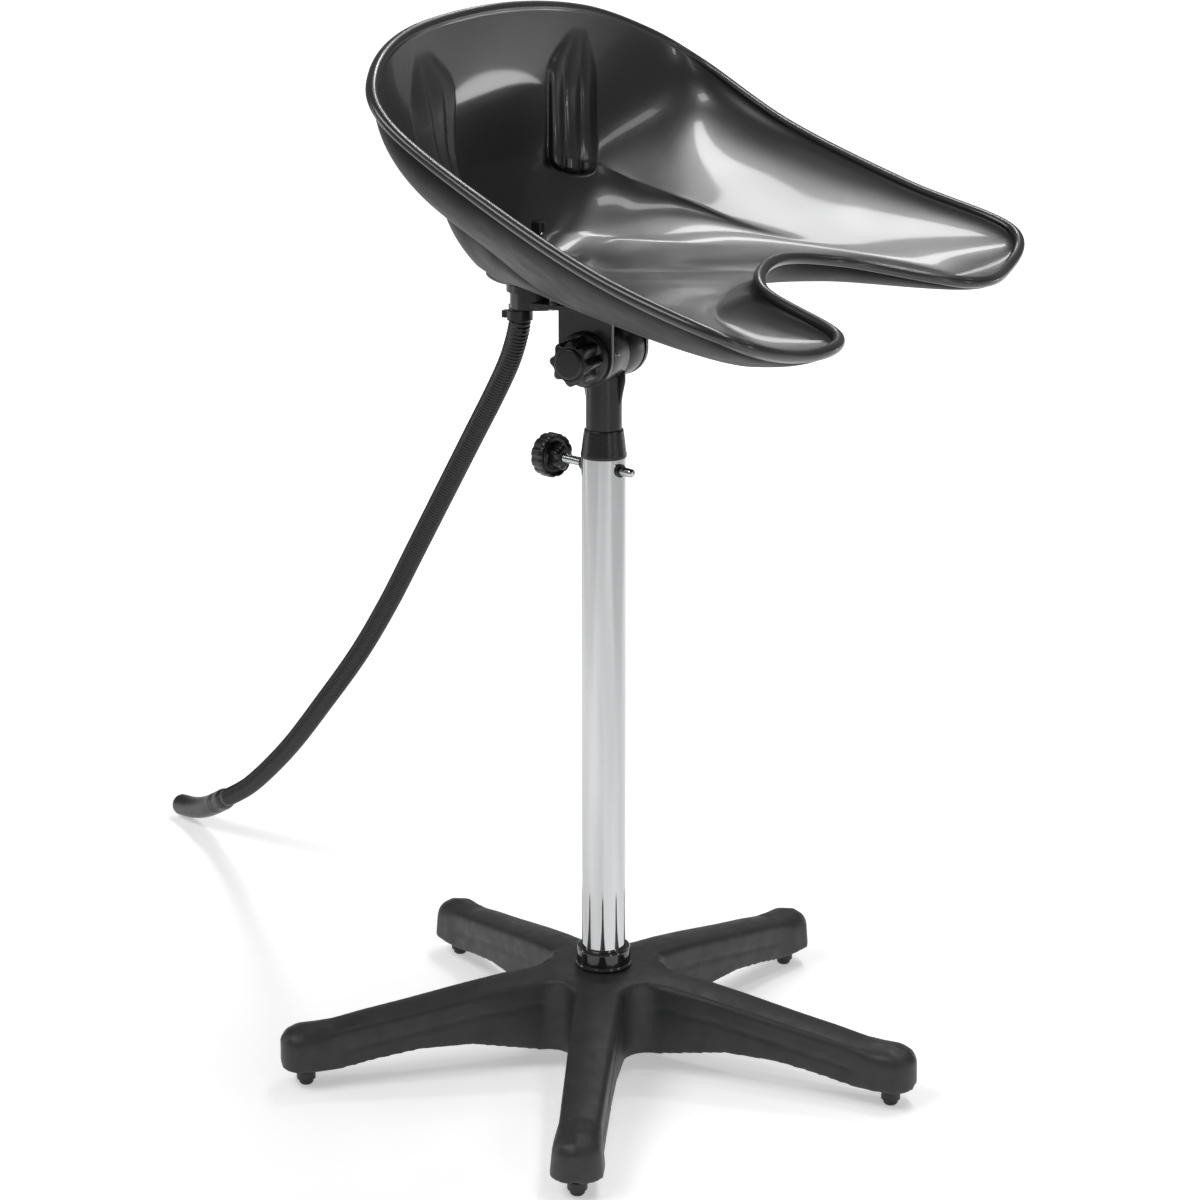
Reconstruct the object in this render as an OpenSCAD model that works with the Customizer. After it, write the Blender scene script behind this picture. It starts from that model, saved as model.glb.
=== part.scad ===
// Portable shampoo backwash unit: a basin on a clamped, telescopic column and a five-star base.
// Millimetres, +Z up. The origin is on the floor, under the middle of the unit's footprint.
// +X points to the neck notch, and the hinge of the basin lies along Y.

/* [Star base] */
// Radius of the circle that the glide feet stand on
foot_circle_r = 265; // [235:1:320]
// Turn of the star about the column
star_yaw = 4.4; // [0:0.1:71.9]
// Half width of an arm at its tip
arm_tip_r = 17.5; // [15:0.5:20]
// Half width of an arm where it meets the hub
arm_root_r = 20.5; // [19:0.5:24]
// Height of the hub's top
hub_h = 84; // [78:1:100]
// Height of the glide feet
glide_h = 13; // [10:0.5:18]

/* [Column] */
// Outer diameter of the chromed column tube
tube_d = 38; // [36:0.5:42]
// Wall of the column tube
tube_wall = 1.5; // [1.2:0.1:1.7]
// Height of the top of the column tube
tube_top = 542; // [500:1:640]
// Outer diameter of the sliding post
post_d = 30.4; // [28:0.1:31]
// Wall of the sliding post
post_wall = 2.5; // [2:0.1:3]
// How far the post slides up
height_travel = 280; // [200:1:300]

/* [Clamps] */
// Diameter of the clamping rod through the column
rod_d = 7.5; // [6:0.1:8]
// Distance from the column axis to the lock knob's outer face
lock_reach = 71; // [64:1:85]
// Radius of the lock knob
lock_knob_r = 19; // [16:0.5:24]
// Direction of the lock knob about the column
lock_yaw = 161; // [120:1:200]
// Diameter of the tilt bolt
bolt_d = 10; // [8:0.5:12]
// Radius of the tilt knob's lobes
tilt_knob_r = 19.5; // [17:0.5:23]
// Height of the tilt axis when the column is down
pivot_z = 631; // [620:1:760]
// Radius of the hinge drum
drum_r = 24; // [21:0.5:24]
// Width of the hinge drum
drum_w = 58; // [50:1:66]

/* [Basin] */
// Wall of the basin
shell = 4; // [3:0.5:5]
// Radius of the rolled rim
bead_r = 6; // [5:0.5:7]
// Scale of the basin's width
basin_width_k = 1; // [0.85:0.01:1.2]
// Scale of the basin's depth above its floor
basin_depth_k = 1; // [0.85:0.01:1.2]
// Radius of the drain hole
drain_r = 19.5; // [17:0.5:21]

/* [Hose] */
// Outer diameter of the waste hose
hose_d = 19; // [17:0.5:22]
// Bore of the waste hose
hose_bore = 14.6; // [13:0.1:16]
// How much thicker the smooth cuff is than the hose, all round
cuff_wall = 2; // [1:0.5:3]

/* [Hidden] */

fine = 96;          // facets of a round outline
small = 48;         // facets of a small round outline
run = 0.05;         // radial clearance of a sliding or turning fit
gap = 0.3;          // clearance between curved faces that don't fit each other
play = 0.1;         // clearance between flat faces
e = 0.5;            // overrun of a cut

// Star arm: distance from the axis and height of its top edge, then of its underside
arms = 5;
arm_end_r = 21.5;
tip_r = foot_circle_r + arm_end_r;
arm_in = 30;                                    // the arms start inside the hub
arm_top = [[arm_in, hub_h], [44, hub_h], [125, 73], [175, 64], [foot_circle_r - 29, 55],
    [foot_circle_r + 5, 51], [tip_r - 3, 47], [tip_r, 42]];
arm_under = [[tip_r, 18], [tip_r - 4, glide_h], [foot_circle_r - 26, glide_h], [foot_circle_r - 60, 22],
    [170, 29], [120, 29], [60, 18], [arm_in, 18]];
arm_wall = 4.5;
arm_roof = 6;
hub_r = 36;
hub_floor = 16;
hub_top = hub_h + 1.5;
stem_r = 4;
stem_h = 16;

// Column: plug, bolt and collar at its foot, guide and clamp at its top
tube_r = tube_d / 2;
tube_bore_r = tube_r - tube_wall;
tube_foot = 26;
plug_h = 30;
base_bolt_r = 5;
base_bolt_len = 34;
base_head_r = 9.2;
base_head_h = 6.4;
base_head_z = 7;
base_washer_r = 15;
collar_r = 24.5;
collar_h = 18.5;
cap_h = 24;
cap_spigot = 25;
post_r = post_d / 2;
post_bore_r = post_r - post_wall;
rod_r = rod_d / 2;
rod_z = tube_top - 9;
slot_margin = 6;
post_tail = 50;
post_foot = rod_z - height_travel - slot_margin - post_tail;
bush_h = 20;
column_yaw = lock_yaw;
rod_tail = 16;
knob_len = 14;
knob_hub_len = 10;
knob_hub_r = 11;
knob_grips = 18;
grip_r = 2;
nut_r = 7;
nut_back = 14;
nut_front = 8;

// Hinge: ears of the bracket outside the drum, with a thin washer on each side
drum_half = drum_w / 2;
washer_t = 1;
ear_in = drum_half + washer_t + play;
ear_t = 4;
ear_out = ear_in + ear_t;
bolt_r = bolt_d / 2;
neck_len = 34;
tilt_knob_len = 31;
tilt_lobes = 8;
lobe_r = 3.6;
tilt_nut_h = 11;
tilt_head_r = 9.4;
tilt_head_h = 5;
hinge_rise = 39;
plate_z = pivot_z + hinge_rise;
plate_t = 4;
plate_x = 92;
plate_y = 84;
rib_t = 4;
rib_h = 8;
boss_x = 34;
boss_y = 26;
boss_r = 8;
screw_r = 2.5;
screw_head_r = 5;

// Basin: half outlines from the back of the basin, round one side to the neck notch.
// Heights are measured from the drain floor, which keeps its distance from the hinge.
drain_x = -61;
basin_rise = 59;
floor_z = pivot_z + basin_rise;
rim_half = [[-98, 0, 216], [-96, 140, 207], [-77, 228, 184], [-40, 274, 153], [44, 282, 101],
    [150, 298, 53], [248, 298, 20], [271, 222, -2], [265, 139, -2], [179, 80, 17], [154, 0, 27]];
ledge_half = [[-101, 0, 92], [-95, 75, 89], [-77, 123, 81], [-40, 147, 62], [-4, 168, 46],
    [50, 187, 24], [150, 215, 2], [220, 215, -11], [210, 165, -10], [150, 104, -1], [126, 0, 8]];
floor_half = [[-92, 0, 26], [-88, 45, 26], [-75, 78, 24], [-48, 102, 20], [-12, 122, 16],
    [40, 148, 11], [110, 176, 2], [165, 182, -4], [160, 150, -3], [128, 86, 1], [106, 0, 5]];
wall_curve = 1.9;                               // how upright the wall starts below the rim
sink_curve = 1.7;                               // the same, below the ledge
around = 4;                                     // points between two of an outline's own points
wall_steps = [0.1, 0.25, 0.42, 0.6, 0.78, 0.92, 1];
sink_steps = [0.2, 0.45, 0.7, 1];
floor_steps = [0.35, 0.7, 1];
seat_r = drain_r + 12;
seat_t = 5;
flange_t = 1.6;
flange_tail = 10;
gasket_t = 1.6;
ring_r = 27;
ring_h = 6;
ring_bottom = floor_z - seat_t - gasket_t - ring_h;
cup_r = 24;
cup_wall = 3;
cup_h = 13.4;
cup_bottom = ring_bottom - cup_h;
outlet_x = -80;
outlet_y = 2;
spigot_h = 24;

// Centre line of the waste hose, from the drain outlet to the floor behind the unit
hose_route = [[-80, 2, cup_bottom], [-80, 2, cup_bottom - 14], [-85, 5, 634], [-96, 11, 611], [-117, 22, 579],
    [-146, 38, 539], [-192, 63, 475], [-240, 89, 408], [-282, 112, 350], [-334, 141, 286],
    [-398, 175, 217], [-465, 212, 149], [-536, 250, 88], [-590, 281, 53]];
cuff_route = [[-590, 281, 53], [-628, 301, 31], [-658, 317, 19], [-688, 333, 12.5]];

// The footprint reaches from the back arms to the horns of the basin; the column stands off its middle
back_reach = foot_circle_r * cos(180 - 144 - star_yaw) + arm_end_r;
front_reach = max([for (p = closed_curve(rim_half)) p[0]]) + bead_r;
column_x = (back_reach - front_reach) / 2;

// ---------------------------------------------------------------- helpers

module at_column(turn = 0) { translate([column_x, 0, 0]) rotate([0, 0, turn]) children(); }

// Tube between two heights
module ring(outer, inner, z0, z1) {
    translate([0, 0, z0])
        difference() {
            cylinder(r = outer, h = z1 - z0, $fn = fine);
            translate([0, 0, -e]) cylinder(r = inner, h = z1 - z0 + 2 * e, $fn = fine);
        }
}

// Lying round bar along Y, from y0 to y1, at the height of the hinge
module hinge_bar(r, y0, y1, facets = fine) {
    translate([0, y0, pivot_z]) rotate([-90, 0, 0]) cylinder(r = r, h = y1 - y0, $fn = facets);
}

// Round bar along the clamp's direction, from a to b
module clamp_bar(r, a, b, facets = small) {
    translate([a, 0, rod_z]) rotate([0, 90, 0]) cylinder(r = r, h = b - a, $fn = facets);
}

// Closed curve through a half outline and its mirror image
function mirrored(half) =
    let (n = len(half)) concat(half, [for (i = [n - 2 : -1 : 1]) [half[i][0], -half[i][1], half[i][2]]]);
function curve_point(p, i, t) =
    let (n = len(p), a = p[(i + n - 1) % n], b = p[i], c = p[(i + 1) % n], d = p[(i + 2) % n])
    0.5 * (2 * b + (c - a) * t + (2 * a - 5 * b + 4 * c - d) * t * t + (3 * b - a - 3 * c + d) * t * t * t);
function closed_curve(half) =
    let (p = mirrored(half)) [for (i = [0 : len(p) - 1], k = [0 : around - 1]) curve_point(p, i, k / around)];
function unit(v) = v / norm(v);
function in_basin(p) = [p[0], p[1] * basin_width_k, floor_z + p[2] * basin_depth_k];

rim = [for (p = closed_curve(rim_half)) in_basin(p)];
ledge = [for (p = closed_curve(ledge_half)) in_basin(p)];
floor_edge = [for (p = closed_curve(floor_half)) in_basin(p)];
sides = len(rim);
function drain_point(i, r, z) =
    let (v = unit([floor_edge[i][0] - drain_x, floor_edge[i][1]])) [drain_x + r * v[0], r * v[1], z];
drain_edge = [for (i = [0 : sides - 1]) drain_point(i, seat_r - 2, floor_z)];

function between(a, b, t, bend) =
    [for (i = [0 : sides - 1]) [
        a[i][0] + (b[i][0] - a[i][0]) * pow(t, bend),
        a[i][1] + (b[i][1] - a[i][1]) * pow(t, bend),
        a[i][2] + (b[i][2] - a[i][2]) * t]];
inside = concat(
    [for (t = wall_steps) between(rim, ledge, t, wall_curve)],
    [for (t = sink_steps) between(ledge, floor_edge, t, sink_curve)],
    [for (t = floor_steps) between(floor_edge, drain_edge, t, 1)]);
levels = len(inside);

// Direction that points out of the basin's wall at a point of its inner surface
function wall_out(k, i) =
    let (a = inside[k][(i + sides - 1) % sides], b = inside[k][(i + 1) % sides],
        c = k == 0 ? rim[i] : inside[k - 1][i], d = inside[min(k + 1, levels - 1)][i])
    unit(cross(b - a, d - c));
outside = [for (k = [0 : levels - 1]) k == levels - 1
    ? [for (p = inside[k]) p - [0, 0, shell]]
    : [for (i = [0 : sides - 1]) inside[k][i] + shell * wall_out(k, i)]];

// Rolled rim: a round bead, turned from the inner face over the top to the outer face
function rim_out(i) =
    let (v = rim[(i + 1) % sides] - rim[(i + sides - 1) % sides]) unit([v[1], -v[0], 0]);
bead = [for (a = [200 : -40 : -40]) [for (i = [0 : sides - 1])
    rim[i] + bead_r * (cos(a) * rim_out(i) + [0, 0, sin(a)])]];

// Closed skin through rings of points, joined into a loop
function loop_faces(rows, n) = [for (k = [0 : rows - 1], i = [0 : n - 1])
    let (a = k * n + i, b = k * n + (i + 1) % n, c = ((k + 1) % rows) * n + i, d = ((k + 1) % rows) * n + (i + 1) % n)
    each [[a, b, d], [a, d, c]]];

// Sweep of a round section along a line of points
function along(p, i) = unit(p[min(i + 1, len(p) - 1)] - p[max(i - 1, 0)]);
function sweep_ring(p, i, r, n) =
    let (t = along(p, i), s = unit(cross([0.4, -0.9, 0], t)), u = cross(t, s))
    [for (k = [0 : n - 1]) p[i] + r * (cos(360 * k / n) * s + sin(360 * k / n) * u)];
function spline(p, steps) = concat(
    [for (i = [0 : len(p) - 2], k = [0 : steps - 1])
        let (a = p[max(i - 1, 0)], b = p[i], c = p[i + 1], d = p[min(i + 2, len(p) - 1)], t = k / steps)
        0.5 * (2 * b + (c - a) * t + (2 * a - 5 * b + 4 * c - d) * t * t
            + (3 * b - a - 3 * c + d) * t * t * t)],
    [p[len(p) - 1]]);
module swept_bar(route, r, n = 12, steps = 2) {
    p = spline(route, steps);
    rows = len(p);
    polyhedron(
        points = [for (i = [0 : rows - 1]) each sweep_ring(p, i, r, n)],
        faces = concat(
            [for (k = [0 : rows - 2], i = [0 : n - 1])
                let (a = k * n + i, b = k * n + (i + 1) % n, c = a + n, d = b + n) each [[a, c, d], [a, d, b]]],
            [[for (i = [0 : n - 1]) i]],
            [[for (i = [n - 1 : -1 : 0]) (rows - 1) * n + i]]));
}

// ---------------------------------------------------------------- star base

module arm_side(inset = 0) {
    rotate([90, 0, 0])
        linear_extrude(height = 60, center = true)
            polygon(inset == 0
                ? concat(arm_top, arm_under)
                : concat([for (p = arm_top) if (p[0] < foot_circle_r - 30) [p[0], p[1] - arm_roof]],
                    [[foot_circle_r - 30, 0], [arm_in, 0]]));
}

module arm_plan(inset = 0) {
    linear_extrude(height = hub_h + e)
        union() {
            polygon([[arm_in, -arm_root_r + inset], [foot_circle_r, -arm_tip_r + inset],
                [foot_circle_r, arm_tip_r - inset], [arm_in, arm_root_r - inset]]);
            if (inset == 0)
                intersection() {
                    translate([foot_circle_r, -arm_tip_r]) square([arm_end_r, 2 * arm_tip_r]);
                    translate([foot_circle_r, 0]) circle(r = arm_end_r, $fn = fine);
                }
        }
}

module star_base() {
    color("#242526")
        at_column(star_yaw)
            difference() {
                union() {
                    for (k = [0 : arms - 1])
                        rotate([0, 0, 360 * k / arms])
                            difference() {
                                intersection() {
                                    arm_side();
                                    arm_plan();
                                }
                                intersection() {
                                    arm_side(arm_wall);
                                    arm_plan(arm_wall);
                                }
                            }
                    translate([0, 0, hub_floor]) cylinder(r = hub_r, h = hub_top - hub_floor, $fn = fine);
                }
                translate([0, 0, tube_foot]) cylinder(r = tube_r + run, h = hub_h, $fn = fine);
                cylinder(r = base_bolt_r + gap, h = hub_h, $fn = small);
                for (k = [0 : arms - 1])
                    rotate([0, 0, 360 * k / arms])
                        translate([foot_circle_r, 0, 0]) cylinder(r = stem_r, h = glide_h + stem_h, $fn = small);
            }
}

module glide_feet() {
    color("#1b1b1c")
        at_column(star_yaw)
            for (k = [0 : arms - 1])
                rotate([0, 0, 360 * k / arms])
                    translate([foot_circle_r, 0, 0])
                        rotate_extrude($fn = fine)
                            polygon([[0, 0], [5, 0], [6.2, 1.5], [6.2, 3.5], [8.2, 5], [8.2, glide_h - 1],
                                [7.4, glide_h], [stem_r, glide_h], [stem_r, glide_h + stem_h - 1],
                                [0, glide_h + stem_h - 1]]);
}

module base_bolt() {
    color("silver")
        at_column()
            translate([0, 0, base_head_z]) {
                cylinder(r = base_head_r, h = base_head_h, $fn = 6);
                translate([0, 0, base_head_h]) cylinder(r = base_bolt_r, h = base_bolt_len, $fn = small);
            }
}

module base_washer() {
    color("silver")
        at_column() ring(base_washer_r, base_bolt_r + gap, base_head_z + base_head_h + play, hub_floor - play);
}

module tube_end_plug() {
    color("#2a2a2a")
        at_column()
            difference() {
                translate([0, 0, tube_foot + play]) cylinder(r = tube_bore_r, h = plug_h, $fn = fine);
                translate([0, 0, tube_foot]) cylinder(r = base_bolt_r, h = plug_h + 1, $fn = small);
            }
}

module base_collar() {
    color("#151515")
        at_column()
            translate([0, 0, hub_top])
                rotate_extrude($fn = fine)
                    polygon([[tube_r + run, 0], [collar_r, 0], [collar_r, 2.5], [collar_r - 0.7, 3.2],
                        [collar_r - 0.7, collar_h - 2], [collar_r - 2.2, collar_h], [tube_r + run, collar_h]]);
}

// ---------------------------------------------------------------- column

module column_tube() {
    color("#d9dcdf")
        at_column(column_yaw)
            difference() {
                ring(tube_r, tube_bore_r, tube_foot + play, tube_top);
                clamp_bar(rod_r + run, -tube_d, tube_d);
            }
}

module tube_cap() {
    color("#141414")
        at_column(column_yaw)
            difference() {
                translate([0, 0, tube_top])
                    rotate_extrude($fn = fine)
                        polygon([[post_r + run, -cap_spigot], [tube_bore_r, -cap_spigot], [tube_bore_r, 0],
                            [tube_r + 0.4, 0], [tube_r + 0.4, 3], [post_r + 1.6, cap_h - 2], [post_r + 1.1, cap_h],
                            [post_r + run, cap_h]]);
                clamp_bar(rod_r + run, -tube_d, tube_d);
            }
}

module lock_rod() {
    color("#d0d3d6")
        at_column(column_yaw) {
            clamp_bar(rod_r, -tube_r - rod_tail + 3, lock_reach - 6);
            translate([-tube_r - rod_tail + 3, 0, rod_z])
                rotate([0, -90, 0])
                    rotate_extrude($fn = small)
                        intersection() {
                            circle(r = rod_r, $fn = small);
                            square(rod_r);
                        }
        }
}

module lock_boss() {
    color("#161616")
        at_column(column_yaw)
            difference() {
                clamp_bar(6.5, tube_r - 2, tube_r + 5);
                clamp_bar(rod_r + run, 0, tube_d);
                cylinder(r = tube_r + play, h = tube_top + tube_d, $fn = fine);
            }
}

module rod_grommet() {
    color("#161616")
        at_column(column_yaw)
            difference() {
                clamp_bar(5.6, -tube_r - 1.6, -tube_r + 2);
                clamp_bar(rod_r + run, -tube_d, 0);
                cylinder(r = tube_r + play, h = tube_top + tube_d, $fn = fine);
            }
}

module lock_knob() {
    color("#171717")
        at_column(column_yaw)
            difference() {
                union() {
                    clamp_bar(lock_knob_r, lock_reach - knob_len, lock_reach, fine);
                    clamp_bar(knob_hub_r, lock_reach - knob_len - knob_hub_len, lock_reach - knob_len + e, fine);
                }
                clamp_bar(rod_r + run, 0, lock_reach - 4);
                clamp_bar(nut_r, lock_reach - nut_back, lock_reach - nut_front, 6);
                for (k = [0 : knob_grips - 1])
                    translate([0, 0, rod_z])
                        rotate([360 * k / knob_grips, 0, 0])
                            translate([0, 0, lock_knob_r + 0.6 * grip_r])
                                rotate([0, 90, 0]) cylinder(r = grip_r, h = lock_reach + e, $fn = 24);
            }
}

module lock_knob_nut() {
    color("silver")
        at_column(column_yaw)
            difference() {
                clamp_bar(nut_r - play, lock_reach - nut_back + play, lock_reach - nut_front - play, 6);
                clamp_bar(rod_r + run, 0, lock_reach);
            }
}

// ---------------------------------------------------------------- sliding post

module inner_post() {
    color("#1a1a1b")
        at_column(column_yaw)
            difference() {
                ring(post_r, post_bore_r, post_foot, pivot_z - 10);
                // Slot on both sides, so that the post slides past the clamping rod
                translate([-tube_d, -rod_r - gap, rod_z - height_travel - slot_margin])
                    cube([2 * tube_d, rod_d + 2 * gap, height_travel + 2 * slot_margin]);
                rotate([0, 0, -column_yaw]) hinge_bar(drum_r + play, -tube_d, tube_d);
            }
}

module lower_guide_bush() {
    color("#e8e8e4")
        at_column() ring(tube_bore_r - run, post_r, post_foot, post_foot + bush_h);
}

module post_head() {
    color("#161617")
        at_column() {
            difference() {
                union() {
                    hinge_bar(drum_r, -drum_half, drum_half);
                    translate([0, 0, pivot_z - drum_r - neck_len])
                        cylinder(r = post_bore_r, h = neck_len, $fn = fine);
                    intersection() {
                        translate([0, 0, pivot_z - drum_r - e]) cylinder(r = post_bore_r, h = drum_r, $fn = fine);
                        hinge_bar(drum_r + play * 2, -drum_half, drum_half);
                    }
                }
                hinge_bar(bolt_r + run, -drum_w, drum_w);
            }
        }
}

module friction_washers() {
    color("#8e9092")
        at_column()
            for (s = [-1, 1])
                difference() {
                    hinge_bar(drum_r - 3, s > 0 ? drum_half + play / 2 : -drum_half - washer_t + play / 2,
                        s > 0 ? drum_half + washer_t - play / 2 : -drum_half - play / 2);
                    hinge_bar(bolt_r + gap, -drum_w, drum_w);
                }
}

// ---------------------------------------------------------------- tilting head

module tilt_bolt() {
    color("silver")
        at_column() {
            hinge_bar(bolt_r, -ear_out - tilt_knob_len + 8, ear_out + tilt_nut_h);
            hinge_bar(tilt_head_r, ear_out + tilt_nut_h, ear_out + tilt_nut_h + tilt_head_h, 6);
        }
}

module tilt_bolt_nut() {
    color("#1a1a1a")
        at_column()
            translate([0, ear_out + play, pivot_z])
                rotate([-90, 0, 0])
                    rotate_extrude($fn = fine)
                        polygon([[bolt_r + run, 0], [14, 0], [14, 4], [12, tilt_nut_h - 2 * play],
                            [bolt_r + run, tilt_nut_h - 2 * play]]);
}

module tilt_knob() {
    color("#171718")
        at_column()
            translate([0, -ear_out - play, pivot_z])
                rotate([90, 0, 0])
                    difference() {
                        union() {
                            cylinder(r = tilt_knob_r + 3, h = 5, $fn = fine);
                            cylinder(r = tilt_knob_r - 4, h = tilt_knob_len - 3, $fn = fine);
                            cylinder(r = 11, h = tilt_knob_len, $fn = fine);
                            for (k = [0 : tilt_lobes - 1])
                                rotate([0, 0, 360 * k / tilt_lobes])
                                    translate([tilt_knob_r - lobe_r, 0, 0])
                                        cylinder(r = lobe_r, h = tilt_knob_len - 4, $fn = small);
                        }
                        translate([0, 0, -e]) cylinder(r = bolt_r + run, h = tilt_knob_len - 6, $fn = small);
                    }
}

module bracket_ear(y0) {
    difference() {
        union() {
            hinge_bar(drum_r + 0.5, y0, y0 + ear_t);
            translate([-drum_r - 0.5, y0, pivot_z]) cube([2 * drum_r + 1, ear_t, plate_z - pivot_z + 1]);
        }
        hinge_bar(bolt_r + run, -2 * drum_w, 2 * drum_w);
    }
}

module bowl_bracket() {
    color("#1c1c1d")
        at_column()
            difference() {
                union() {
                    translate([-plate_x / 2, -plate_y / 2, plate_z]) cube([plate_x, plate_y, plate_t]);
                    bracket_ear(-ear_out);
                    bracket_ear(ear_in);
                    for (s = [-1, 1])
                        translate([s * (drum_r - 3) - rib_t / 2, -ear_in, plate_z - rib_h])
                            cube([rib_t, 2 * ear_in, rib_h + e]);
                }
                // Room for the drain cup
                translate([drain_x, 0, plate_z - e]) cylinder(r = cup_r + 1, h = plate_t + 2 * e, $fn = fine);
                for (sx = [-1, 1], sy = [-1, 1])
                    translate([sx * boss_x, sy * boss_y, plate_z - e])
                        cylinder(r = screw_r + 0.25, h = plate_t + 2 * e, $fn = small);
            }
}

module bracket_screws() {
    color("silver")
        at_column()
            for (sx = [-1, 1], sy = [-1, 1])
                translate([sx * boss_x, sy * boss_y, plate_z - play - 3])
                    rotate_extrude($fn = small)
                        polygon([[0, 0], [3.4, 0], [screw_head_r, 1.4], [screw_head_r, 3], [screw_r, 3],
                            [screw_r, 14], [0, 14]]);
}

// ---------------------------------------------------------------- basin

module basin() {
    skin = concat(inside, [for (k = [levels - 1 : -1 : 0]) outside[k]],
        [for (k = [len(bead) - 1 : -1 : 0]) bead[k]]);
    color("#3a3b3c")
        at_column()
            difference() {
                union() {
                    polyhedron(points = [for (row = skin) each row], faces = loop_faces(len(skin), sides));
                    // Thickened seat round the drain hole
                    translate([drain_x, 0, floor_z - seat_t]) cylinder(r = seat_r, h = seat_t, $fn = fine);
                    // Bosses that the bracket screws into
                    for (sx = [-1, 1], sy = [-1, 1])
                        translate([sx * boss_x, sy * boss_y, plate_z + plate_t + play])
                            cylinder(r = boss_r, h = floor_z - plate_z - plate_t, $fn = small);
                }
                translate([drain_x, 0, floor_z - 2 * seat_t]) cylinder(r = drain_r + gap, h = 4 * seat_t, $fn = fine);
                for (sx = [-1, 1], sy = [-1, 1])
                    translate([sx * boss_x, sy * boss_y, plate_z]) cylinder(r = screw_r, h = 15, $fn = small);
            }
}

module at_drain() { at_column() translate([drain_x, 0, 0]) children(); }

module drain_flange() {
    color("#c9cccf")
        at_drain()
            translate([0, 0, floor_z + 1])
                rotate_extrude($fn = fine)
                    polygon([[drain_r - 4, -seat_t - flange_tail], [drain_r, -seat_t - flange_tail], [drain_r, 0],
                    [seat_r - 4, 0],
                        [seat_r - 5, flange_t], [drain_r, flange_t], [drain_r - 4, -1]]);
}

module drain_gaskets() {
    color("#2b2b2b")
        at_drain() {
            ring(seat_r - 5, drain_r + gap, floor_z, floor_z + 1);
            ring(ring_r - 1, drain_r + gap, floor_z - seat_t - gasket_t, floor_z - seat_t);
        }
}

module drain_lock_ring() {
    color("#1b1b1b")
        at_drain() ring(ring_r, drain_r, ring_bottom, ring_bottom + ring_h);
}

module drain_cup() {
    color("#1b1b1b")
        at_column()
            difference() {
                union() {
                    translate([drain_x, 0, cup_bottom]) cylinder(r = cup_r, h = cup_h - 2 * gap, $fn = fine);
                    translate([outlet_x, outlet_y, cup_bottom - spigot_h])
                        cylinder(r = hose_bore / 2, h = spigot_h + 1, $fn = small);
                }
                translate([drain_x, 0, cup_bottom + cup_wall]) cylinder(r = cup_r - cup_wall, h = cup_h, $fn = fine);
                translate([outlet_x, outlet_y, cup_bottom - spigot_h - e])
                    cylinder(r = hose_bore / 2 - 1.8, h = spigot_h + 8, $fn = small);
            }
}

module drain_plug() {
    color("#101010")
        at_drain()
            translate([0, 0, floor_z + 1])
                rotate_extrude($fn = small)
                    polygon([[0, -9], [drain_r - 6, -9], [drain_r - 4 - gap, -6], [drain_r - 4 - gap, -1 - gap],
                        [drain_r - 1.4, flange_t + gap], [drain_r - 1.4, 4], [6, 7], [3.4, 10], [3.4, 33], [5.8, 35],
                        [5.8, 43], [4.2, 45], [0, 45]]);
}

// ---------------------------------------------------------------- waste hose

module hose_clip() {
    color("silver")
        at_column()
            translate([outlet_x, outlet_y, 0]) {
                ring(hose_d / 2 + 1.5, hose_d / 2 + gap, cup_bottom - 13, cup_bottom - 5);
                translate([-hose_d / 2 - 6, -3.5, cup_bottom - 12]) cube([5.4, 7, 6]);
            }
}

module drain_hose() {
    color("#1d1d1d") at_column() swept_bar(hose_route, hose_d / 2, 12, 3);
}

module hose_cuff() {
    color("#161616") at_column() swept_bar(cuff_route, hose_d / 2 + cuff_wall, 16, 4);
}

star_base();
glide_feet();
base_bolt();
base_washer();
tube_end_plug();
base_collar();
column_tube();
tube_cap();
lock_rod();
lock_boss();
rod_grommet();
lock_knob();
lock_knob_nut();
inner_post();
lower_guide_bush();
post_head();
friction_washers();
tilt_bolt();
tilt_bolt_nut();
tilt_knob();
bowl_bracket();
bracket_screws();
basin();
drain_flange();
drain_gaskets();
drain_cup();
drain_lock_ring();
drain_plug();
hose_clip();
drain_hose();
hose_cuff();
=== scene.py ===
# %% [markdown]
# # A shampoo basin on a clamped column
# This lesson dresses a salon backwash unit: a glossy moulded basin, a chromed column with two clamping
# knobs, a nylon five-star base and a ribbed waste hose. The sizes and the joints come from an
# engineering model, which is loaded first and never changed. Everything below either gives one of its
# parts a finish, or builds a finer piece that stands in the same place.

# %% Load the engineering model
import math

import bpy
import numpy as np
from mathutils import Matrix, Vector


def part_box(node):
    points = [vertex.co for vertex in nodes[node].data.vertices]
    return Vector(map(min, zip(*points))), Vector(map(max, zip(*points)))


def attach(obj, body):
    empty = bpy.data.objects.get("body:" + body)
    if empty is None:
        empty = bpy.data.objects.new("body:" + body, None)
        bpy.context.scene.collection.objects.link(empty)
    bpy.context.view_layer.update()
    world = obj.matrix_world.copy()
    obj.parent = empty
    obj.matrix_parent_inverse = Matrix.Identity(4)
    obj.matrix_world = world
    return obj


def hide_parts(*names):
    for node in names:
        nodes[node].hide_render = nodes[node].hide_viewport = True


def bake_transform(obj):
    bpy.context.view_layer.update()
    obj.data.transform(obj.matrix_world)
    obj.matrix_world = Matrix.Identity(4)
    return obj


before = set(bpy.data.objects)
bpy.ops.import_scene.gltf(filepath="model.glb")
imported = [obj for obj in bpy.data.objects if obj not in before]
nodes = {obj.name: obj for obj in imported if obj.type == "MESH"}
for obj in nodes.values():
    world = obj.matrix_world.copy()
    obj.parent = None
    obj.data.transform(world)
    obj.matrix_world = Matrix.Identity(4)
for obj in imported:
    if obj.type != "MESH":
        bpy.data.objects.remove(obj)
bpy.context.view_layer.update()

MM = 0.001
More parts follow.
